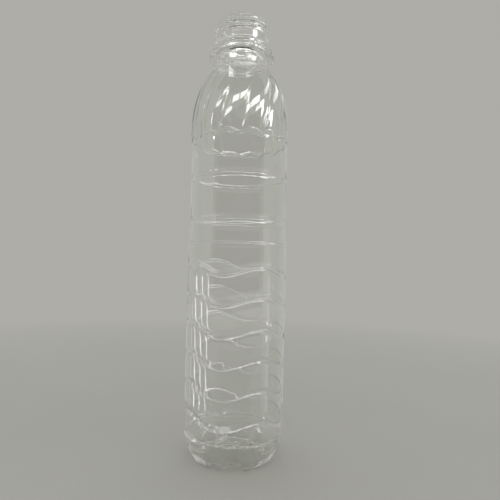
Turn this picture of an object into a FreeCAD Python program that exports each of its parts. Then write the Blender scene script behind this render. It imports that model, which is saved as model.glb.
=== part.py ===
"""A blown bottle for a cold drink, in millimetres, standing on its base with its axis on Z.

The wall is one closed solid: the outside form less the inside form. Both come from
the same driving dimensions, so a change of size carries through both.
"""

import FreeCAD, Part
import math
import os

os.makedirs("parts", exist_ok=True)

Vec = FreeCAD.Vector
UP = Vec(0, 0, 1)
CENTRE = Vec(0, 0, 0)

# heights of the main stretches: the foot is counted from the floor up, and the neck,
# the shoulder and the label panel from the lip down
height = 236.5
heel_z = 14.2
neck_height = 25.0
shoulder_height = 40.2
panel_height = 54.0
panel_ledge = 2.3
neck_z = height - neck_height
lobe_low_z = neck_z - shoulder_height
panel_top_z = lobe_low_z - panel_ledge
panel_low_z = panel_top_z - panel_height

# radii of the main stretches
body_r = 27.0
heel_r = body_r - 0.5
panel_r = body_r - 0.8
shoulder_r = body_r - 0.2
neck_r = 13.3

# thickness of the blown wall, of the thicker base and of the moulded neck
wall = 0.35
base_wall = 0.8
neck_wall = 0.8
bore_r = neck_r - neck_wall

# foot: a standing ring with a raised floor inside it and a sloping heel outside it
foot_out_r = heel_r - 3.7
foot_in_r = foot_out_r - 3.4
floor_rise = 6.0
floor_flat_r = 6.5
heel_slope_z = 7.5
heel_step = 1.0
foot_out_bend = 3.0
heel_bend = 8.0

# hollow ribs that cross the foot from the raised floor to the heel
rib_count = 5
rib_bend_r = 15.6
rib_bend_in = heel_r - 14.0
rib_bend_z = heel_z
rib_depth = 2.0
rib_half_width = 3.6
rib_sweep_deg = 96.0
rib_points = 4

# wavy grooves round the lower body, evenly spread between the heel and the panel
wave_grooves = 6
wave_first_z = heel_z + 10.0
wave_room = panel_low_z - heel_z - 7.2
wave_pitch = wave_room / wave_grooves
wave_count = 4
wave_rise = 2.45
wave_crest_deg = 28.0
wave_lean = 1.3
wave_lean_deg = -114.0
points_per_wave = 12
groove_half_width = 1.7
groove_depth = 0.9

# two straight grooves round the label panel
ring_heights = (panel_low_z + 12.7, panel_low_z + 35.7)

# swirled lobes of the shoulder, each with an arched lower end
lobe_count = 14
lobe_pitch_deg = 360.0 / lobe_count
lobe_crease_deg = -27.7
lobe_crease_depth = 0.5
lobe_belly_depth = 1.0
lobe_swirl_deg = 26.0
lobe_arch_rise = 1.4
lobe_step_height = 1.3
lobe_top_z = neck_z - 2.0
lobe_sections = 9
lobe_facets = 3
inner_lobe_facets = 2
lobe_top_ledge = 0.15
lobe_space_z = lobe_low_z + lobe_step_height + wall
bell_fullness = 2.8
bell_close = 0.8

# neck finish above the shoulder: flange, tamper bead and plain lip
flange_z = neck_z + 5.7
flange_r = neck_r + 4.3
flange_thick = 2.2
neck_bend = 2.4
finish_r = neck_r + 0.6
bead_r = finish_r + 1.3
bead_z = neck_z + 11.5
bead_half = 1.2
lip_round = 0.6

# turn of each flat that draws a rounding
flat_turn = 0.6

# margin by which a cutting tool runs past what it cuts
past = 0.5


def around(radius, degrees, z):
    """Point at an angle about the axis, counted from the front towards the right."""
    turn = math.radians(degrees)
    return Vec(radius * math.sin(turn), -radius * math.cos(turn), z)


def softened(before, here, after, rounding):
    """Points of a rounding at a corner, its arc drawn as short flats."""
    back = (before - here).normalize()
    ahead = (after - here).normalize()
    half = back.getAngle(ahead) / 2
    reach = rounding / math.tan(half)
    heart = here + (back + ahead).normalize() * (rounding / math.sin(half))
    flats = max(1, round((math.pi - 2 * half) / flat_turn))
    arc = Part.Arc(
        here + back * reach,
        heart - (back + ahead).normalize() * rounding,
        here + ahead * reach,
    )
    return arc.toShape().discretize(flats + 1)


def outline(corners):
    """Closed outline in the XZ plane through corners (r, z, rounding)."""
    places = [Vec(r, 0, z) for r, z, rounding in corners]
    points = []
    for i, place in enumerate(places):
        rounding = corners[i][2]
        if rounding > 0:
            after = places[(i + 1) % len(places)]
            points += softened(places[i - 1], place, after, rounding)
        else:
            points.append(place)
    return Part.makePolygon(points + points[:1])


def turned(corners):
    """Solid made by turning an outline once round the axis."""
    return Part.Face(outline(corners)).revolve(CENTRE, UP, 360)


def all_round(shape, count):
    """Copies of a shape at equal steps round the axis."""
    return [shape.rotated(CENTRE, UP, i * 360.0 / count) for i in range(count)]


def bell_radius(z):
    """Radius of the shoulder's outline, full below and closing in to the neck."""
    share = min(max((z - lobe_low_z) / (neck_z - lobe_low_z), 0.0), 1.0)
    return neck_r + (shoulder_r - neck_r) * (1 - share ** bell_fullness) ** bell_close


def crease_depth(z):
    """Depth of the crease between two lobes, deepest at the belly, gone at the top."""
    share = min(max((z - lobe_low_z) / (lobe_top_z - lobe_low_z), 0.0), 1.0)
    belly = math.sin(math.pi * share) * (lobe_belly_depth - lobe_crease_depth)
    return belly + lobe_crease_depth * (1 - share)


def lobed_section(z, inset, facets):
    """Closed outline of one level of the shoulder, bulging between its creases."""
    swirl = lobe_swirl_deg * (z - lobe_low_z) / (lobe_top_z - lobe_low_z)
    points = []
    for i in range(lobe_count * facets):
        share = (i % facets) / facets
        hollow = crease_depth(z) * (1 - 2 * share) ** 2
        angle = lobe_crease_deg + swirl + i * lobe_pitch_deg / facets
        points.append(around(bell_radius(z) - hollow - inset, angle, z))
    return Part.makePolygon(points + points[:1])


def lobed_shoulder(bottom, inset, facets):
    """Swirled bell of lobes, drawn through sections from its bottom to its top."""
    step = (lobe_top_z - bottom) / (lobe_sections - 1)
    levels = [bottom + i * step for i in range(lobe_sections)]
    return Part.makeLoft([lobed_section(z, inset, facets) for z in levels], True, True)


def panel_recess():
    """Ring that sinks the label panel, its top edge arched under each lobe."""
    half_chord = panel_r * math.sin(math.radians(lobe_pitch_deg / 2))
    arch_r = (half_chord ** 2 + lobe_arch_rise ** 2) / (2 * lobe_arch_rise)
    arch_z = lobe_low_z - arch_r
    depth = shoulder_r - panel_r + past
    flare = lobe_step_height / (shoulder_r - panel_r)
    ring_top = lobe_low_z - lobe_arch_rise - wall
    ring_low = panel_low_z + past
    outer = Part.makeCylinder(panel_r + depth, ring_top - ring_low, Vec(0, 0, ring_low))
    ring = outer.cut(Part.makeCylinder(panel_r, height))
    crest = lobe_crease_deg + lobe_pitch_deg / 2
    low = around(panel_r, crest, arch_z)
    outward = around(1, crest, 0)
    arch = Part.makeCone(arch_r, arch_r + flare * depth, depth, low, outward)
    wedge = Part.makeCylinder(panel_r + depth, height - ring_top, Vec(0, 0, ring_top - wall), UP, lobe_pitch_deg)
    wedge.rotate(CENTRE, UP, lobe_crease_deg - 90.0)
    arch = arch.common(wedge)
    return ring, all_round(arch, lobe_count)


def ring_path(radius, level, swing):
    """Closed line round the body, wavy by a share of the full swing."""
    points = []
    count = wave_count * points_per_wave
    for i in range(count):
        angle = i * 360.0 / count
        wave = wave_rise * math.cos(math.radians(wave_count * (angle - wave_crest_deg)))
        lean = wave_lean * math.cos(math.radians(angle - wave_lean_deg))
        points.append(around(radius, angle, level + swing * (wave + lean)))
    curve = Part.BSplineCurve()
    curve.interpolate(points, PeriodicFlag=True)
    return Part.Wire(curve.toShape())


def closed_loft(sections):
    """Solid ring through sections that end where they began."""
    skin = Part.makeLoft(sections + sections[:1], False, True)
    ring = Part.Solid(Part.Shell(skin.Faces))
    if ring.Volume < 0:
        ring.reverse()
    return ring


def ring_tool(corners, level, swing):
    """Straight or wavy ring whose section has the given corners (r, z)."""
    return closed_loft([ring_path(r, level + z, swing) for r, z in corners])


def groove_corners(surface_r):
    """Section of a groove: two flanks that meet at its bottom."""
    wide = groove_half_width * (1 + past / groove_depth)
    return [(surface_r + past, -wide), (surface_r - groove_depth, 0), (surface_r + past, wide)]


def ridge_corners(surface_r):
    """Section of the ridge that the groove raises inside, one wall away from it."""
    slope = math.atan2(groove_depth, groove_half_width)
    peak_r = surface_r - groove_depth - wall / math.cos(slope)
    outer_r = surface_r - wall + past
    wide = (outer_r - peak_r) / math.tan(slope)
    return [(outer_r, -wide), (peak_r, 0), (outer_r, wide)]


def grooves(section):
    """All wavy grooves of the body and the straight ones of the panel."""
    wavy = ring_tool(section(body_r), wave_first_z, 1)
    cuts = [wavy.translated(UP * (i * wave_pitch)) for i in range(wave_grooves)]
    for level in ring_heights:
        cuts.append(turned([(r, level + z, 0) for r, z in section(panel_r)]))
    return cuts


def rib_tool(extra):
    """Bar of wedge section that dips under the foot and turns up the heel."""
    sections = []
    for i in range(rib_points):
        turn = math.radians(rib_sweep_deg * i / (rib_points - 1))
        peak = rib_bend_r - rib_depth - extra
        back = rib_bend_r + rib_depth
        half = (back - peak) * rib_half_width / rib_depth
        corners = []
        for reach, side in ((peak, 0), (back, half), (back, -half)):
            out = rib_bend_in + reach * math.sin(turn)
            corners.append(Vec(side, -out, rib_bend_z - reach * math.cos(turn)))
        sections.append(Part.makePolygon(corners + corners[:1]))
    return Part.makeLoft(sections, True, True)


def body_corners():
    """Outline of the foot, heel, body and label panel."""
    return [
        (0, floor_rise, 0),
        (floor_flat_r, floor_rise, 0),
        (foot_in_r, 0, 0),
        (foot_out_r, 0, foot_out_bend),
        (heel_r, heel_slope_z, heel_bend),
        (heel_r, heel_z, 0),
        (body_r, heel_z + heel_step, 0),
        (body_r, panel_low_z, 0),
        (panel_r, panel_low_z + heel_step, 0),
        (panel_r, panel_top_z, 0),
        (0, panel_top_z, 0),
    ]


def space_corners():
    """Outline of the space inside the foot, body and label panel."""
    return [
        (0, floor_rise + base_wall, 0),
        (floor_flat_r, floor_rise + base_wall, 0),
        (foot_in_r, base_wall, 0),
        (foot_out_r - base_wall, base_wall, 0),
        (heel_r - wall, heel_slope_z, 0),
        (body_r - wall, heel_z + heel_step, 0),
        (body_r - wall, panel_low_z, 0),
        (panel_r - wall, panel_low_z + heel_step, 0),
        (panel_r - wall, panel_top_z, 0),
        (0, panel_top_z, 0),
    ]


def neck_corners():
    """Outline of the neck and its finish, from the top of the lobes to the lip."""
    low_r = bell_radius(lobe_top_z) - lobe_top_ledge
    flange_top = flange_z + flange_thick
    return [
        (0, lobe_top_z, 0),
        (low_r, lobe_top_z, 0),
        (neck_r, neck_z + 0.6, neck_bend),
        (neck_r, flange_z, 0),
        (flange_r, flange_z, 0),
        (flange_r, flange_top, 0),
        (finish_r, flange_top, 0),
        (finish_r, bead_z - bead_half, 0),
        (bead_r, bead_z, 0),
        (finish_r, bead_z + bead_half, 0),
        (finish_r, height, lip_round),
        (0, height, 0),
    ]


def outside():
    """Solid form of the whole bottle with every groove, lobe and rib cut in."""
    body = turned(body_corners())
    body = body.cut(grooves(groove_corners))
    body = body.cut(all_round(rib_tool(0), rib_count))
    shoulder = lobed_shoulder(panel_top_z, 0, lobe_facets)
    ring, arches = panel_recess()
    shoulder = shoulder.cut([ring] + arches)
    neck = turned(neck_corners())
    return body.fuse([shoulder, neck])


def neck_space_corners():
    """Outline of the space inside the neck, narrowing from the shoulder to the bore."""
    low_r = bell_radius(lobe_top_z) - lobe_top_ledge - wall
    return [
        (0, lobe_top_z, 0),
        (low_r, lobe_top_z, 0),
        (bore_r, neck_z, 0),
        (bore_r, height + past, 0),
        (0, height + past, 0),
    ]


def inside():
    """Solid form of the space within, up through the bore."""
    body = turned(space_corners())
    body = body.cut(grooves(ridge_corners))
    body = body.cut(all_round(rib_tool(base_wall), rib_count))
    shoulder = lobed_shoulder(lobe_space_z, wall, inner_lobe_facets)
    link = Part.makeCylinder(panel_r - wall, lobe_space_z - panel_top_z, UP * panel_top_z)
    return body.fuse([link, shoulder, turned(neck_space_corners())])


def bottle():
    """The blown wall."""
    return outside().cut(inside())


bottle().exportStep("parts/bottle.step")
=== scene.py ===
"""A clear blown bottle for a cold drink, on a plain pale floor.

The bottle is one blown wall. Its outline is drawn from corners, rounded and spun round
the axis, and then shaped all round: the wavy grooves, the swirled lobes of the shoulder,
the ribs of the foot and the thread of the neck. Shapes are worked in millimetres.
"""

import math

import bmesh
import bpy
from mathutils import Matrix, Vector, noise


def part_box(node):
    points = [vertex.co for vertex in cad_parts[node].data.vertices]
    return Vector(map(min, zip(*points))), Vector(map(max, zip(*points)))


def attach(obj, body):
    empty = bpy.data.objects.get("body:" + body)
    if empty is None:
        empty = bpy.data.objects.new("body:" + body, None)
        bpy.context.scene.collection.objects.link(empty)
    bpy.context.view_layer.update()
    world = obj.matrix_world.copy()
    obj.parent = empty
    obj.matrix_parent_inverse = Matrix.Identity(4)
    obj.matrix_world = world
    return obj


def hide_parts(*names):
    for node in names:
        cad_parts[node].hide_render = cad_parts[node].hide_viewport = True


bl_info = {
    "name": "Clear Drink Bottle",
    "version": (1, 0, 0),
    "blender": (4, 5, 0),
    "location": "View3D > Sidebar > Bottle",
    "description": "Blows a clear drink bottle with a wavy body and a swirled shoulder",
    "category": "Object",
}

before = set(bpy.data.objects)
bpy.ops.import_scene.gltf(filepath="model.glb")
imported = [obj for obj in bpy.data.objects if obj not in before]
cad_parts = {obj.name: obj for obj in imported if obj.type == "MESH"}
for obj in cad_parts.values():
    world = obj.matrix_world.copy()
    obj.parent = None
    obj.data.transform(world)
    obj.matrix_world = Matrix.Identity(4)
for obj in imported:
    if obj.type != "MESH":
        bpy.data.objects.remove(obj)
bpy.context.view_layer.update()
LOW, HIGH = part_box("bottle")
MM = 0.001
BODY_R = (HIGH.x - LOW.x) / 2
HEIGHT = HIGH.z


# Sizes and colours


class BottleSizes(bpy.types.PropertyGroup):
    """Sizes of the blown wall."""

    body_radius: bpy.props.FloatProperty(
        name="Body Radius",
        description="Radius of the body between its grooves",
        default=BODY_R,
        unit="LENGTH",
        subtype="DISTANCE",
    )
    height: bpy.props.FloatProperty(
        name="Height",
        description="Height of the lip above the floor",
        default=HEIGHT,
        unit="LENGTH",
        subtype="DISTANCE",
    )
    wall: bpy.props.FloatProperty(
        name="Wall",
        description="Thickness of the blown wall",
        default=0.35 * MM,
        unit="LENGTH",
        subtype="DISTANCE",
    )
    groove_depth: bpy.props.FloatProperty(
        name="Groove Depth",
        description="Depth of each groove of the body and the label panel",
        default=0.9 * MM,
        unit="LENGTH",
        subtype="DISTANCE",
    )
    wave_rise: bpy.props.FloatProperty(
        name="Wave Rise",
        description="Height of the waves of a body groove above its mean level",
        default=2.45 * MM,
        unit="LENGTH",
        subtype="DISTANCE",
    )
    swirl: bpy.props.FloatProperty(
        name="Swirl",
        description="Turn of the shoulder's lobes from their lower to their upper end",
        default=math.radians(26.0),
        unit="ROTATION",
        subtype="ANGLE",
    )
    lobe_depth: bpy.props.FloatProperty(
        name="Lobe Depth",
        description="Depth of the creases between the lobes at the belly of the shoulder",
        default=1.0 * MM,
        unit="LENGTH",
        subtype="DISTANCE",
    )
    unevenness: bpy.props.FloatProperty(
        name="Unevenness",
        description="Depth of the soft dents that blowing leaves in the wall",
        default=0.07 * MM,
        unit="LENGTH",
        subtype="DISTANCE",
    )
    base_ripple: bpy.props.FloatProperty(
        name="Base Ripple",
        description="Height of the uneven spots on the inside of the thick base",
        default=0.5 * MM,
        unit="LENGTH",
        subtype="DISTANCE",
    )


class PlasticLook(bpy.types.PropertyGroup):
    """Colour and finish of the clear plastic."""

    tint: bpy.props.FloatVectorProperty(
        name="Tint",
        description="Colour of light that has passed through the wall",
        default=(0.97, 0.975, 0.96),
        subtype="COLOR",
        min=0.0,
        max=1.0,
    )
    haze: bpy.props.FloatProperty(
        name="Haze",
        description="Roughness of the scuffed bands of the wall",
        default=0.09,
        subtype="FACTOR",
        min=0.0,
        max=1.0,
    )


class StudioSettings(bpy.types.PropertyGroup):
    """Floor, lamps and camera."""

    floor_color: bpy.props.FloatVectorProperty(
        name="Floor Colour",
        description="Colour of the floor and of the background",
        default=(0.42, 0.42, 0.385),
        subtype="COLOR",
        min=0.0,
        max=1.0,
    )
    card_light: bpy.props.FloatProperty(
        name="Card Light",
        description="Brightness of the windows and strips that the wall mirrors",
        default=1.0,
        min=0.0,
    )
    camera_distance: bpy.props.FloatProperty(
        name="Camera Distance",
        description="Distance of the camera from the bottle's axis",
        default=0.241,
        unit="LENGTH",
        subtype="DISTANCE",
    )
    camera_height: bpy.props.FloatProperty(
        name="Camera Height",
        description="Height of the camera above the floor",
        default=0.104,
        unit="LENGTH",
        subtype="DISTANCE",
    )


# Shape of the wall

# heights and radii of the stretches, as in the solid, in millimetres
HEEL_R, PANEL_R, SHOULDER_R, NECK_R, BORE_R = 26.5, 26.2, 26.8, 13.3, 12.5
FLOOR_RISE, FLOOR_FLAT_R, FOOT_IN_R, FOOT_OUT_R = 6.0, 6.5, 19.4, 22.8
HEEL_SLOPE_Z, HEEL_Z, STEP, HEEL_GROOVE = 7.5, 14.2, 1.0, 0.65
PANEL_LOW_Z, PANEL_TOP_Z, LOBE_LOW_Z, LOBE_TOP_Z, NECK_Z = 115.0, 169.0, 171.3, 209.5, 211.5
FLANGE_Z, FLANGE_THICK, FLANGE_R = 217.2, 2.2, 17.6
FINISH_R, BEAD_R, BEAD_Z, BEAD_HALF = 13.9, 15.2, 223.0, 1.2
BASE_WALL = 0.8
GATE_R, GATE_DROP = 2.0, 0.7

# grooves: wavy ones round the body, which also lean, and straight ones round the panel
WAVES, WAVE_CREST, LEAN, LEAN_TURN = 4, math.radians(28.0), 1.3, math.radians(-114.0)
WAVE_FIRST, WAVE_PITCH, WAVE_GROOVES = 24.2, 15.6, 6
WAVE_LEVELS = [WAVE_FIRST + WAVE_PITCH * i for i in range(WAVE_GROOVES)]
RING_LEVELS = [127.7, 150.7]
GROOVE_HALF, GROOVE_FLANK, GROOVE_SOFT = 1.7, 1.15, 0.85

# lobes of the shoulder, with the arched step at their feet
LOBES, CREASE_TURN, CREASE_FOOT, CREASE_HALF = 14, math.radians(-27.7), 0.5, 1.2
LOBE_WIDTH = 2 * math.pi * SHOULDER_R / LOBES
ARCH_RISE, LOBE_STEP, LOBE_FULL, ARCH_GROOVE, CREASE_CUT = 1.9, 0.7, 2.8, 0.45, 0.35
ARCH_LOW_Z, ARCH_HIGH_Z, LIP_HOLLOW = 158.0, 182.0, 0.25
BELL_FULLNESS, BELL_CLOSE, BELL_ROWS = 2.8, 0.8, 40

# ribs of the foot
RIBS, RIB_HEART_R, RIB_REACH, RIB_HALF, RIB_DEPTH = 5, 12.5, 15.6, 3.6, 2.0
RIB_ROUND, RIB_SOFT = 0.8, 0.5

# thread of the neck
THREAD_LOW, THREAD_PITCH, THREAD_TURNS, THREAD_CREST = 227.6, 3.2, 2.1, 1.25
THREAD_START, THREAD_FADE = math.radians(150.0), 0.09
THREAD_TOP_HALF, THREAD_FOOT_HALF = 0.25, 1.05

# fineness of the mesh and of the unevenness that blowing leaves
COLUMNS, ROUND_STEPS, BEND_STEPS, BORE_STEP = 140, 3, 5, 3.0
DENT_SCALE, RIPPLE_SCALE = 0.05, 0.22

# how strongly the plastic bends light, and how often light may bounce in its thick parts
PLASTIC_IOR, LIGHT_BOUNCES = 1.575, 48

# camera: lens and sensor in millimetres, roll, and the shift of the picture
LENS, SENSOR, ROLL, SHIFT_X, SHIFT_Y = 31.32, 36.0, math.radians(-1.39), 0.0264, 0.0308

# light cards: name, two angles from the front, and radius and height of two edges, in
# metres, and how brightly the wall mirrors the card
CARDS = (
    ("window_far_left", -62, -31, 1.0, 0.46, 1.0, 0.6, 26.0),
    ("window_left", -30, 1, 1.0, 0.825, 1.0, 1.05, 7.0),
    ("window_right", 6, 46, 1.0, 0.825, 1.0, 1.05, 7.0),
    ("window_far_right", 49, 72, 1.0, 0.52, 1.0, 0.8, 9.0),
    ("window_side", 77, 128, 1.0, 0.9, 1.0, 1.12, 3.0),
    ("window_slit", -45, -41, 1.0, 0.74, 1.0, 0.95, 3.5),
    ("window_low_left", -30, 1, 1.0, 0.46, 1.0, 0.6, 26.0),
    ("window_low_right", 6, 46, 1.0, 0.46, 1.0, 0.6, 26.0),
    ("window_neck_left", -52, -24, 1.0, 0.64, 1.0, 0.748, 6.0),
    ("window_neck_right", 33, 46, 1.0, 0.64, 1.0, 0.748, 6.0),
    ("dim_ceiling", -80, 80, 1.02, 1.13, 0.05, 1.9, 0.05),
    ("dim_front", -60, 60, 0.9, 0.002, 0.9, 0.6, 0.05),
    ("dim_floor", -35, 35, 0.07, 0.001, 0.35, 0.001, 0.08),
    ("side_left", -168, -112, 0.9, 0.01, 0.9, 0.7, 0.55),
    ("side_right", 112, 168, 0.9, 0.01, 0.9, 0.7, 0.55),
    ("side_floor_left", -168, -112, 0.1, 0.002, 0.9, 0.002, 0.55),
    ("side_floor_right", 112, 168, 0.1, 0.002, 0.9, 0.002, 0.55),
    ("strip_left_front", -58.6, -56.4, 0.1, 0.004, 0.1, 0.096, 9.0),
    ("strip_left", -75.2, -72.6, 0.1, 0.004, 0.1, 0.096, 9.0),
    ("strip_left_back", -93.4, -90.4, 0.1, 0.004, 0.1, 0.096, 7.0),
    ("strip_left_far", -107.5, -104.5, 0.1, 0.004, 0.1, 0.075, 1.5),
    ("strip_right", 63.2, 66.2, 0.098, 0.0532, 0.098, 0.0628, 8.0),
    ("strip_right_back", 75, 77.5, 0.098, 0.0532, 0.098, 0.0628, 7.0),
    ("glow_strip", 65.5, 72, 0.099, 0.004, 0.099, 0.1, 1.6),
    ("glow_right", 56, 72.5, 0.1, 0.004, 0.1, 0.13, 0.9),
)

# cards that the far wall also mirrors, as seen through the near one
SEEN_THROUGH = ("window", "dim_front", "dim_ceiling")


def smooth(low, high, value):
    """Share from 0 to 1 of the way from low to high, eased at both ends."""
    share = min(max((value - low) / (high - low), 0.0), 1.0)
    return share * share * (3 - 2 * share)


def bell_radius(z):
    """Radius of the shoulder, full below and closing in to the neck."""
    share = min(max((z - LOBE_LOW_Z) / (NECK_Z - LOBE_LOW_Z), 0.0), 1.0)
    return NECK_R + (SHOULDER_R - NECK_R) * (1 - share**BELL_FULLNESS) ** BELL_CLOSE


def groove_rows(radius, level, depth):
    """Corners of one groove, its lips and its bottom rounded."""
    bed = GROOVE_HALF - GROOVE_FLANK
    return [
        (radius, level - GROOVE_HALF, GROOVE_SOFT),
        (radius - depth, level - bed, GROOVE_SOFT * 0.55),
        (radius - depth, level + bed, GROOVE_SOFT * 0.55),
        (radius, level + GROOVE_HALF, GROOVE_SOFT),
    ]


def bell_rows(inset):
    """Corners that follow the shoulder's bell from the lobes' step to their top."""
    low = LOBE_LOW_Z + LOBE_FULL
    step = (LOBE_TOP_Z - low) / BELL_ROWS
    levels = [low + step * i for i in range(1, BELL_ROWS + 1)]
    return [(bell_radius(z) - inset, z, 0) for z in levels]


def outer_rows(sizes):
    """Corners (r, z, rounding) of the outside, from the base's centre to the lip."""
    body, depth, top = sizes.body_radius / MM, sizes.groove_depth / MM, sizes.height / MM
    rows = [
        (0, FLOOR_RISE - GATE_DROP, 0),
        (GATE_R, FLOOR_RISE - GATE_DROP, 0.35),
        (GATE_R + 0.5, FLOOR_RISE, 0.35),
        (FLOOR_FLAT_R, FLOOR_RISE, 2.5),
        (FOOT_IN_R, 0, 1.3),
        (FOOT_OUT_R, 0, 1.5),
        (HEEL_R, HEEL_SLOPE_Z, 4.0),
        (HEEL_R, HEEL_Z - 1.4, 0.4),
        (HEEL_R - HEEL_GROOVE, HEEL_Z - 0.7, 0.25),
        (HEEL_R - HEEL_GROOVE, HEEL_Z, 0.3),
        (body, HEEL_Z + STEP, 0.35),
    ]
    for level in WAVE_LEVELS:
        rows += groove_rows(body, level, depth)
    rows += [(body, PANEL_LOW_Z, 0.35), (PANEL_R, PANEL_LOW_Z + STEP, 0.35)]
    for level in RING_LEVELS:
        rows += groove_rows(PANEL_R, level, depth)
    rows += [
        (PANEL_R, LOBE_LOW_Z - 0.9, 0.3),
        (PANEL_R - ARCH_GROOVE, LOBE_LOW_Z - 0.15, 0.15),
        (SHOULDER_R - 0.1, LOBE_LOW_Z + 0.5, 0.2),
        (SHOULDER_R, LOBE_LOW_Z + 0.8, 0.15),
        (SHOULDER_R - LIP_HOLLOW, LOBE_LOW_Z + 1.6, 0.3),
        (SHOULDER_R, LOBE_LOW_Z + LOBE_FULL - 0.2, 0.3),
    ]
    rows += bell_rows(0)
    rows += [
        (NECK_R, NECK_Z + 0.6, 0.3),
        (NECK_R, FLANGE_Z, 0.25),
        (FLANGE_R, FLANGE_Z, 0.3),
        (FLANGE_R, FLANGE_Z + FLANGE_THICK, 0.45),
        (FINISH_R, FLANGE_Z + FLANGE_THICK + 0.3, 0.5),
        (FINISH_R, BEAD_Z - BEAD_HALF, 0.35),
        (BEAD_R, BEAD_Z - 0.35, 0.3),
        (BEAD_R, BEAD_Z + 0.35, 0.3),
        (FINISH_R, BEAD_Z + BEAD_HALF, 0.35),
        (FINISH_R, top, 0.6),
    ]
    return rows


def inner_rows(sizes):
    """Corners (r, z, rounding) of the inside, from the lip down to the base's centre."""
    body, depth, top = sizes.body_radius / MM, sizes.groove_depth / MM, sizes.height / MM
    wall = sizes.wall / MM
    rows = [
        (0, FLOOR_RISE + BASE_WALL, 0),
        (FLOOR_FLAT_R, FLOOR_RISE + BASE_WALL, 2.5),
        (FOOT_IN_R, BASE_WALL, 1.3),
        (FOOT_OUT_R - BASE_WALL, BASE_WALL, 1.4),
        (HEEL_R - wall, HEEL_SLOPE_Z, 3.6),
        (HEEL_R - wall, HEEL_Z - 1.3, 0.4),
        (HEEL_R - HEEL_GROOVE - wall, HEEL_Z - 0.6, 0.25),
        (HEEL_R - HEEL_GROOVE - wall, HEEL_Z, 0.3),
        (body - wall, HEEL_Z + STEP, 0.35),
    ]
    for level in WAVE_LEVELS:
        rows += groove_rows(body - wall, level, depth)
    rows += [(body - wall, PANEL_LOW_Z, 0.35), (PANEL_R - wall, PANEL_LOW_Z + STEP, 0.35)]
    for level in RING_LEVELS:
        rows += groove_rows(PANEL_R - wall, level, depth)
    rows += [
        (PANEL_R - wall, LOBE_LOW_Z - 0.8, 0.3),
        (PANEL_R - ARCH_GROOVE - wall, LOBE_LOW_Z - 0.05, 0.15),
        (SHOULDER_R - 0.1 - wall, LOBE_LOW_Z + 0.6, 0.2),
        (SHOULDER_R - wall, LOBE_LOW_Z + 0.9, 0.15),
        (SHOULDER_R - LIP_HOLLOW - wall, LOBE_LOW_Z + 1.6, 0.3),
        (SHOULDER_R - wall, LOBE_LOW_Z + LOBE_FULL - 0.2, 0.3),
    ]
    rows += bell_rows(wall)[1:-1]
    rows += [(BORE_R, NECK_Z, 1.0), (BORE_R, top, 0.5)]
    return rows[::-1]


def draw_outline(bm, rows):
    """A wire through the corners (r, z, rounding), with each corner rounded."""
    wire, corners = [], {}
    for r, z, rounding in rows:
        vert = bm.verts.new((0, -r, z))
        if wire:
            bm.edges.new((wire[-1], vert))
        wire.append(vert)
        if rounding > 0:
            corners.setdefault(rounding, []).append(vert)
    for rounding, verts in corners.items():
        bmesh.ops.bevel(
            bm,
            geom=verts,
            offset=rounding,
            offset_type="OFFSET",
            segments=ROUND_STEPS if rounding < 1 else BEND_STEPS,
            profile=0.5,
            affect="VERTICES",
            material=-1,
        )


def row_step(z):
    """Longest stretch of outline between two rows at a height."""
    if z > BEAD_Z + BEAD_HALF:
        return 0.36
    if z < HEEL_Z:
        return 1.0
    if PANEL_LOW_Z + STEP < z < RING_LEVELS[1] + GROOVE_HALF:
        return 4.0
    return 2.2


def fill_rows(bm):
    """Splits the long stretches of the outline, so that the wall can bend there."""
    for edge in bm.edges[:]:
        middle = (edge.verts[0].co + edge.verts[1].co) / 2
        in_bore = middle.z > NECK_Z and -middle.y < BORE_R + 0.01
        step = BORE_STEP if in_bore else row_step(middle.z)
        cuts = math.ceil(edge.calc_length() / step) - 1
        if cuts > 0:
            bmesh.ops.subdivide_edges(bm, edges=[edge], cuts=cuts)


def mark_sides(bm, side, top):
    """Marks which points of the outline lie inside, walking on from the base's centre."""
    ends = [vert for vert in bm.verts if len(vert.link_edges) == 1]
    vert = min(ends, key=lambda end: end.co.z)
    lip_r = (FINISH_R + BORE_R) / 2
    edge, inner = None, 0
    while vert is not None:
        if vert.co.z > top - 1 and -vert.co.y < lip_r:
            inner = 1
        vert[side] = inner
        onward = [link for link in vert.link_edges if link is not edge]
        edge = onward[0] if onward else None
        vert = edge.other_vert(vert) if edge else None


def wave_shift(sizes, z, turn):
    """Rise or fall of a row of the lower body at an angle round the axis."""
    swing = smooth(HEEL_Z + STEP, WAVE_LEVELS[0] - GROOVE_HALF, z)
    swing *= 1 - smooth(WAVE_LEVELS[-1] + GROOVE_HALF, PANEL_LOW_Z - 2, z)
    wave = sizes.wave_rise / MM * math.cos(WAVES * (turn - WAVE_CREST))
    return swing * (wave + LEAN * math.cos(turn - LEAN_TURN))


def lobe_hollow(sizes, z, share):
    """Depth of the shoulder's surface under its bell, at a share across a lobe."""
    part = min(max((z - LOBE_LOW_Z) / (LOBE_TOP_Z - LOBE_LOW_Z), 0.0), 1.0)
    belly = math.sin(math.pi * part) * (sizes.lobe_depth / MM - CREASE_FOOT)
    crease = belly + CREASE_FOOT * (1 - part)
    grown = smooth(LOBE_LOW_Z, LOBE_LOW_Z + LOBE_STEP, z) * (1 - smooth(LOBE_TOP_Z - 1, NECK_Z, z))
    near = max(0.0, 1 - min(share, 1 - share) * LOBE_WIDTH / CREASE_HALF)
    return grown * (crease * (1 - 2 * share) ** 2 + CREASE_CUT * near**2)


def arch_shift(z, share):
    """Drop of the step under a lobe, none at its middle and most at its creases."""
    below = smooth(ARCH_LOW_Z, LOBE_LOW_Z - 0.5, z)
    above = 1 - smooth(LOBE_LOW_Z + LOBE_STEP + 0.5, ARCH_HIGH_Z, z)
    return -below * above * ARCH_RISE * (1 - 2 * share) ** 2


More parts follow.
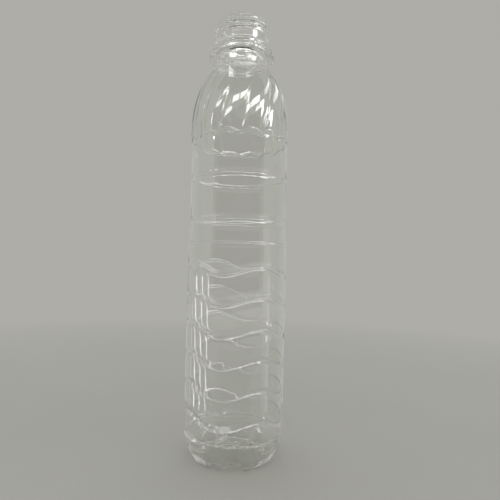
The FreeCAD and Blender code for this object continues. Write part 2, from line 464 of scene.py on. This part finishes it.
def rib_pull(r, z, turn, extra):
    """Radius and height of a point of the foot once the nearest rib has drawn it in."""
    pitch = 2 * math.pi / RIBS
    off = turn - pitch * round(turn / pitch)
    aside = abs(r * math.sin(off))
    fade = 1 - smooth(HEEL_Z - 1.2, HEEL_Z + 0.9, z)
    if r < RIB_HEART_R or fade <= 0 or math.cos(off) < 0.7:
        return r, z
    out, down = r - RIB_HEART_R, HEEL_Z - z
    reach = math.hypot(out, down)
    bed = RIB_REACH - extra - RIB_DEPTH + math.hypot(aside, RIB_ROUND) * RIB_DEPTH / RIB_HALF
    over = reach - bed
    if over < -RIB_SOFT:
        return r, z
    pull = over if over > RIB_SOFT else (over + RIB_SOFT) ** 2 / (4 * RIB_SOFT)
    share = (reach - pull * fade) / reach
    return RIB_HEART_R + out * share, HEEL_Z - down * share


def thread_rise(z, turn):
    """Height of the thread above the neck at a level and an angle, winding to the right."""
    if z < BEAD_Z + BEAD_HALF:
        return 0.0
    first = (turn - THREAD_START) % (2 * math.pi)
    best = 0.0
    for lap in range(math.ceil(THREAD_TURNS)):
        wound = first / (2 * math.pi) + lap
        if wound > THREAD_TURNS:
            break
        off = abs(z - THREAD_LOW - wound * THREAD_PITCH)
        run = smooth(0, THREAD_FADE, wound)
        run *= 1 - smooth(THREAD_TURNS - THREAD_FADE, THREAD_TURNS, wound)
        best = max(best, run * THREAD_CREST * (1 - smooth(THREAD_TOP_HALF, THREAD_FOOT_HALF, off)))
    return best


def shape_wall(bm, side, sizes):
    """Moves every point of the spun wall to its place on the blown bottle."""
    lobe_pitch = 2 * math.pi / LOBES
    wall = sizes.wall / MM
    for vert in bm.verts:
        inner = vert[side]
        r, z = math.hypot(vert.co.x, vert.co.y), vert.co.z
        turn = math.atan2(vert.co.x, -vert.co.y)
        share = (turn / lobe_pitch) % 1.0
        rise = min(max((z - LOBE_LOW_Z) / (LOBE_TOP_Z - LOBE_LOW_Z), 0.0), 1.0)
        turn += CREASE_TURN + sizes.swirl * rise
        r -= lobe_hollow(sizes, z, share)
        if PANEL_TOP_Z < z < LOBE_LOW_Z + LOBE_STEP + 0.1:
            r = max(r, PANEL_R - ARCH_GROOVE - wall * inner)
        level = z + arch_shift(z, share) + wave_shift(sizes, z, turn)
        if z < HEEL_Z + STEP:
            r, level = rib_pull(r, z, turn, BASE_WALL * inner)
            if inner:
                spot = Vector((r * math.sin(turn), r * math.cos(turn), z * 0.3))
                swell = max(0.0, noise.noise(spot * RIPPLE_SCALE) + 0.3)
                level += sizes.base_ripple / MM * swell
        elif z < LOBE_TOP_Z:
            spot = Vector((r * math.sin(turn), r * math.cos(turn), z * 0.6)) * DENT_SCALE
            dent = 0.5 + 0.5 * noise.noise(spot) + 0.25 * noise.noise(spot * 2.7)
            r -= sizes.unevenness / MM * max(dent, 0.0)
        elif not inner:
            r += thread_rise(z, turn)
        vert.co = (r * math.sin(turn), -r * math.cos(turn), level)


def blow_bottle(sizes):
    """The bottle's wall: its outline drawn, spun and shaped, and then brought to metres."""
    bm = bmesh.new()
    side = bm.verts.layers.int.new("side")
    draw_outline(bm, outer_rows(sizes) + inner_rows(sizes))
    fill_rows(bm)
    mark_sides(bm, side, sizes.height / MM)
    bmesh.ops.spin(
        bm,
        geom=bm.verts[:] + bm.edges[:],
        cent=(0, 0, 0),
        axis=(0, 0, 1),
        dvec=(0, 0, 0),
        angle=2 * math.pi,
        steps=COLUMNS,
        use_merge=True,
        use_normal_flip=False,
        use_duplicate=False,
    )
    bmesh.ops.remove_doubles(bm, verts=bm.verts, dist=0.0001)
    bmesh.ops.recalc_face_normals(bm, faces=bm.faces)
    shape_wall(bm, side, sizes)
    bmesh.ops.scale(bm, vec=(MM, MM, MM), verts=bm.verts)
    return bm


# Materials


def add_node(tree, kind, place, inputs=None, **settings):
    """A node at a place in a tree, with its settings and the values of its inputs."""
    node = tree.nodes.new(kind)
    node.location = place
    for key, value in settings.items():
        setattr(node, key, value)
    for key, value in (inputs or {}).items():
        node.inputs[key].default_value = value
    return node


def new_material(name):
    """An empty material with its output node."""
    material = bpy.data.materials.new(name)
    material.use_nodes = True
    material.node_tree.nodes.clear()
    tree = material.node_tree
    return material, tree, add_node(tree, "ShaderNodeOutputMaterial", (900, 0))


def drift_group():
    """Soft drifting patches: a height and a mask that change slowly over a surface."""
    tree = bpy.data.node_groups.new("Soft Drift", "ShaderNodeTree")
    face = tree.interface
    face.new_socket(name="Size", in_out="INPUT", socket_type="NodeSocketFloat")
    face.new_socket(name="Stretch", in_out="INPUT", socket_type="NodeSocketFloat")
    face.new_socket(name="Detail", in_out="INPUT", socket_type="NodeSocketFloat")
    face.new_socket(name="Height", in_out="OUTPUT", socket_type="NodeSocketFloat")
    face.new_socket(name="Mask", in_out="OUTPUT", socket_type="NodeSocketFloat")
    entry = add_node(tree, "NodeGroupInput", (-900, 0))
    leave = add_node(tree, "NodeGroupOutput", (500, 0))
    where = add_node(tree, "ShaderNodeTexCoord", (-900, 260))
    axes = add_node(tree, "ShaderNodeCombineXYZ", (-700, -120), {"X": 1.0, "Y": 1.0})
    drawn = add_node(tree, "ShaderNodeVectorMath", (-480, 120), operation="MULTIPLY")
    clouds = add_node(tree, "ShaderNodeTexNoise", (-260, 60), {"Roughness": 0.45})
    mask = add_node(tree, "ShaderNodeMapRange", (180, -120))
    mask.inputs["From Min"].default_value = 0.42
    mask.inputs["From Max"].default_value = 0.66
    link = tree.links.new
    link(entry.outputs["Stretch"], axes.inputs["Z"])
    link(where.outputs["Object"], drawn.inputs[0])
    link(axes.outputs["Vector"], drawn.inputs[1])
    link(drawn.outputs["Vector"], clouds.inputs["Vector"])
    link(entry.outputs["Size"], clouds.inputs["Scale"])
    link(entry.outputs["Detail"], clouds.inputs["Detail"])
    link(clouds.outputs["Fac"], leave.inputs["Height"])
    link(clouds.outputs["Fac"], mask.inputs["Value"])
    link(mask.outputs["Result"], leave.inputs["Mask"])
    return tree


def drift_node(tree, place, size, stretch, detail):
    """The soft drift with its own size, stretch and detail."""
    node = add_node(tree, "ShaderNodeGroup", place)
    node.node_tree = bpy.data.node_groups["Soft Drift"]
    node.inputs["Size"].default_value = size
    node.inputs["Stretch"].default_value = stretch
    node.inputs["Detail"].default_value = detail
    return node


def clear_plastic(look):
    """Clear blown plastic, faintly rippled, with scuffed patches."""
    material, tree, output = new_material("clear_plastic")
    link = tree.links.new
    ripple = drift_node(tree, (-900, -300), 85.0, 0.35, 1.0)
    scuffs = drift_node(tree, (-900, 0), 420.0, 0.25, 5.0)
    clouds = drift_node(tree, (-900, 300), 30.0, 0.6, 2.0)
    rough = add_node(tree, "ShaderNodeMapRange", (-560, 40), {"To Min": 0.018})
    rough.inputs["To Max"].default_value = look.haze
    patchy = add_node(tree, "ShaderNodeMath", (-740, 40), operation="MULTIPLY")
    tint = add_node(tree, "ShaderNodeMix", (-560, 340), data_type="RGBA")
    tint.inputs["A"].default_value = (*[0.5 + 0.5 * part for part in look.tint], 1)
    tint.inputs["B"].default_value = (*look.tint, 1)
    bump = add_node(tree, "ShaderNodeBump", (-560, -300), {"Strength": 0.35})
    bump.inputs["Distance"].default_value = 0.0006
    shader = add_node(tree, "ShaderNodeBsdfPrincipled", (-200, 100))
    shader.inputs["Metallic"].default_value = 0.0
    shader.inputs["Transmission Weight"].default_value = 1.0
    shader.inputs["IOR"].default_value = PLASTIC_IOR
    through = add_node(tree, "ShaderNodeBsdfTransparent", (200, -200))
    through.inputs["Color"].default_value = (1.0, 1.0, 0.99, 1)
    path = add_node(tree, "ShaderNodeLightPath", (200, 400))
    blend = add_node(tree, "ShaderNodeMixShader", (600, 0))
    link(scuffs.outputs["Mask"], patchy.inputs[0])
    link(clouds.outputs["Mask"], patchy.inputs[1])
    link(patchy.outputs["Value"], rough.inputs["Value"])
    link(clouds.outputs["Mask"], tint.inputs["Factor"])
    link(ripple.outputs["Height"], bump.inputs["Height"])
    link(rough.outputs["Result"], shader.inputs["Roughness"])
    link(tint.outputs["Result"], shader.inputs["Base Color"])
    link(bump.outputs["Normal"], shader.inputs["Normal"])
    link(path.outputs["Is Shadow Ray"], blend.inputs["Fac"])
    link(shader.outputs["BSDF"], blend.inputs[1])
    link(through.outputs["BSDF"], blend.inputs[2])
    link(blend.outputs["Shader"], output.inputs["Surface"])
    return material


def floor_paint(stage):
    """Pale matt floor that fades into the background far from the bottle."""
    material, tree, output = new_material("pale_floor")
    link = tree.links.new
    drift = drift_node(tree, (-900, 0), 9.0, 1.0, 4.0)
    shade = add_node(tree, "ShaderNodeMix", (-560, 0), data_type="RGBA")
    shade.inputs["A"].default_value = (*stage.floor_color, 1)
    shade.inputs["B"].default_value = (*[0.975 * part for part in stage.floor_color], 1)
    matt = add_node(tree, "ShaderNodeBsdfPrincipled", (-200, 0), {"Roughness": 0.85})
    matt.inputs["Specular IOR Level"].default_value = 0.1
    far = add_node(tree, "ShaderNodeEmission", (0, -300))
    far.inputs["Color"].default_value = (*stage.floor_color, 1)
    where = add_node(tree, "ShaderNodeTexCoord", (-560, 400))
    away = add_node(tree, "ShaderNodeVectorMath", (-320, 400), operation="LENGTH")
    fade = add_node(tree, "ShaderNodeMapRange", (0, 300))
    fade.inputs["From Min"].default_value = 0.08
    fade.inputs["From Max"].default_value = 0.6
    blend = add_node(tree, "ShaderNodeMixShader", (500, 0))
    link(drift.outputs["Mask"], shade.inputs["Factor"])
    link(shade.outputs["Result"], matt.inputs["Base Color"])
    link(where.outputs["Object"], away.inputs[0])
    link(away.outputs["Value"], fade.inputs["Value"])
    link(fade.outputs["Result"], blend.inputs["Fac"])
    link(matt.outputs["BSDF"], blend.inputs[1])
    link(far.outputs["Emission"], blend.inputs[2])
    link(blend.outputs["Shader"], output.inputs["Surface"])
    return material


def card_glow(name, strength):
    """Even glow of a light card, shown only in mirrorings and never on a matt surface."""
    material, tree, output = new_material(name)
    path = add_node(tree, "ShaderNodeLightPath", (0, 200))
    mirrored = add_node(tree, "ShaderNodeMath", (250, 300), operation="GREATER_THAN")
    mirrored.inputs[1].default_value = 0.5
    unlit = add_node(tree, "ShaderNodeMath", (250, 100), operation="LESS_THAN")
    unlit.inputs[1].default_value = 0.5
    shown = add_node(tree, "ShaderNodeMath", (420, 200), operation="MULTIPLY")
    clear = add_node(tree, "ShaderNodeBsdfTransparent", (420, 0))
    glow = add_node(tree, "ShaderNodeEmission", (420, -120), {"Strength": strength})
    blend = add_node(tree, "ShaderNodeMixShader", (640, 0))
    link = tree.links.new
    link(path.outputs["Glossy Depth"], mirrored.inputs[0])
    link(path.outputs["Diffuse Depth"], unlit.inputs[0])
    link(mirrored.outputs["Value"], shown.inputs[0])
    link(unlit.outputs["Value"], shown.inputs[1])
    link(shown.outputs["Value"], blend.inputs["Fac"])
    link(clear.outputs["BSDF"], blend.inputs[1])
    link(glow.outputs["Emission"], blend.inputs[2])
    link(blend.outputs["Shader"], output.inputs["Surface"])
    return material


# Objects


def add_object(name, bm, material):
    """An object from a bmesh, with its material, at the origin."""
    mesh = bpy.data.meshes.new(name)
    bm.to_mesh(mesh)
    bm.free()
    mesh.materials.append(material)
    mesh.shade_smooth()
    piece = bpy.data.objects.new(name, mesh)
    bpy.context.scene.collection.objects.link(piece)
    return piece


class BOTTLE_OT_blow_wall(bpy.types.Operator):
    """Blow the bottle's wall, from its foot to its lip"""

    bl_idname = "bottle.blow_wall"
    bl_label = "Blow Wall"

    def execute(self, context):
        bm = blow_bottle(context.scene.bottle_sizes)
        if any(not edge.is_manifold for edge in bm.edges):
            raise RuntimeError("the wall isn't closed")
        piece = add_object("bottle_wall", bm, clear_plastic(context.scene.bottle_look))
        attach(piece, "root")
        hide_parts("bottle")
        return {"FINISHED"}


def around(radius, degrees, z):
    """Place at an angle about the axis, counted from the front towards the right."""
    turn = math.radians(degrees)
    return Vector((radius * math.sin(turn), -radius * math.cos(turn), z))


def add_card(name, turns, edges, glow):
    """A curved card round the bottle that only its wall mirrors, between two edges."""
    bm = bmesh.new()
    bmesh.ops.create_grid(bm, x_segments=16, y_segments=1, size=0.5)
    for vert in bm.verts:
        along, up = vert.co.x + 0.5, vert.co.y + 0.5
        radius = edges[0] + (edges[2] - edges[0]) * up
        height = edges[1] + (edges[3] - edges[1]) * up
        vert.co = around(radius, turns[0] + (turns[1] - turns[0]) * along, height)
    card = add_object(name, bm, card_glow(name, glow))
    card.visible_camera = False
    card.visible_diffuse = False
    card.visible_transmission = name.startswith(SEEN_THROUGH)
    card.visible_shadow = False


def add_lamp(name, place, target, size, power):
    """A soft square lamp turned to face a target."""
    lamp = bpy.data.lights.new(name, "AREA")
    lamp.shape = "RECTANGLE"
    lamp.size, lamp.size_y = size
    lamp.energy = power
    holder = bpy.data.objects.new(name, lamp)
    holder.location = place
    holder.rotation_euler = (target - place).to_track_quat("-Z", "Y").to_euler()
    holder.visible_camera = False
    holder.visible_glossy = False
    holder.visible_transmission = False
    bpy.context.scene.collection.objects.link(holder)


def add_world(stage):
    """Background colour for what looks past the bottle, and a plain soft light for the rest."""
    world = bpy.data.worlds.new("soft_room")
    world.use_nodes = True
    tree = world.node_tree
    tree.nodes.clear()
    link = tree.links.new
    path = add_node(tree, "ShaderNodeLightPath", (-600, 200))
    seen = add_node(tree, "ShaderNodeMath", (-350, 250), operation="MAXIMUM")
    shown = add_node(tree, "ShaderNodeMath", (-150, 200), operation="MAXIMUM")
    back = add_node(tree, "ShaderNodeBackground", (-150, -200))
    back.inputs["Color"].default_value = (*stage.floor_color, 1)
    soft = add_node(tree, "ShaderNodeBackground", (-150, -50), {"Strength": 0.45})
    soft.inputs["Color"].default_value = (1, 1, 1, 1)
    blend = add_node(tree, "ShaderNodeMixShader", (120, 0))
    output = add_node(tree, "ShaderNodeOutputWorld", (350, 0))
    link(path.outputs["Is Camera Ray"], seen.inputs[0])
    link(path.outputs["Is Glossy Ray"], seen.inputs[1])
    link(seen.outputs["Value"], shown.inputs[0])
    link(path.outputs["Is Transmission Ray"], shown.inputs[1])
    link(shown.outputs["Value"], blend.inputs["Fac"])
    link(soft.outputs["Background"], blend.inputs[1])
    link(back.outputs["Background"], blend.inputs[2])
    link(blend.outputs["Shader"], output.inputs["Surface"])
    bpy.context.scene.world = world


def add_camera(stage):
    """Camera straight in front, level, rolled a little as in the photograph."""
    lens = bpy.data.cameras.new("camera")
    lens.lens = LENS
    lens.sensor_width = SENSOR
    lens.clip_start = 0.01
    lens.shift_x = SHIFT_X
    lens.shift_y = SHIFT_Y
    camera = bpy.data.objects.new("camera", lens)
    camera.rotation_euler = (math.radians(90), ROLL, 0)
    camera.location = (0, -stage.camera_distance, stage.camera_height)
    bpy.context.scene.collection.objects.link(camera)
    bpy.context.scene.camera = camera


class BOTTLE_OT_set_stage(bpy.types.Operator):
    """Lay the floor and set up the lamps, the light cards and the camera"""

    bl_idname = "bottle.set_stage"
    bl_label = "Set Stage"

    def execute(self, context):
        stage = context.scene.bottle_stage
        bm = bmesh.new()
        bmesh.ops.create_circle(bm, cap_ends=True, radius=3, segments=96)
        add_object("floor", bm, floor_paint(stage))
        heart = Vector((0, 0, 0.11))
        for name, low, high, *edges, glow in CARDS:
            add_card(name, (low, high), edges, glow * stage.card_light)
        add_lamp("key_lamp", around(0.75, 12, 0.95), heart, (0.5, 0.35), 4.05)
        add_lamp("top_lamp", around(0.25, 200, 1.1), heart, (0.45, 0.45), 3.0)
        add_world(stage)
        add_camera(stage)
        context.scene.cycles.max_bounces = LIGHT_BOUNCES
        context.scene.cycles.glossy_bounces = LIGHT_BOUNCES
        context.scene.cycles.transmission_bounces = LIGHT_BOUNCES
        context.scene.view_settings.view_transform = "Standard"
        return {"FINISHED"}


class BOTTLE_PT_sidebar(bpy.types.Panel):
    """The bottle's sizes and steps"""

    bl_idname = "BOTTLE_PT_sidebar"
    bl_label = "Clear Drink Bottle"
    bl_space_type = "VIEW_3D"
    bl_region_type = "UI"
    bl_category = "Bottle"

    def draw(self, context):
        for group in ("bottle_sizes", "bottle_look", "bottle_stage"):
            settings = getattr(context.scene, group)
            box = self.layout.box()
            for name in settings.__annotations__:
                box.prop(settings, name)
        self.layout.operator("bottle.blow_wall")
        self.layout.operator("bottle.set_stage")


CLASSES = (
    BottleSizes,
    PlasticLook,
    StudioSettings,
    BOTTLE_OT_blow_wall,
    BOTTLE_OT_set_stage,
    BOTTLE_PT_sidebar,
)


def register():
    """Registers the classes and hangs the settings on the scene."""
    for cls in CLASSES:
        bpy.utils.register_class(cls)
    bpy.types.Scene.bottle_sizes = bpy.props.PointerProperty(type=BottleSizes)
    bpy.types.Scene.bottle_look = bpy.props.PointerProperty(type=PlasticLook)
    bpy.types.Scene.bottle_stage = bpy.props.PointerProperty(type=StudioSettings)


def unregister():
    """Takes the settings and the classes away again."""
    del bpy.types.Scene.bottle_stage
    del bpy.types.Scene.bottle_look
    del bpy.types.Scene.bottle_sizes
    for cls in reversed(CLASSES):
        bpy.utils.unregister_class(cls)


def main():
    """Makes the bottle and its stage."""
    register()
    drift_group()
    bpy.ops.bottle.blow_wall()
    bpy.ops.bottle.set_stage()


if __name__ == "__main__":
    main()
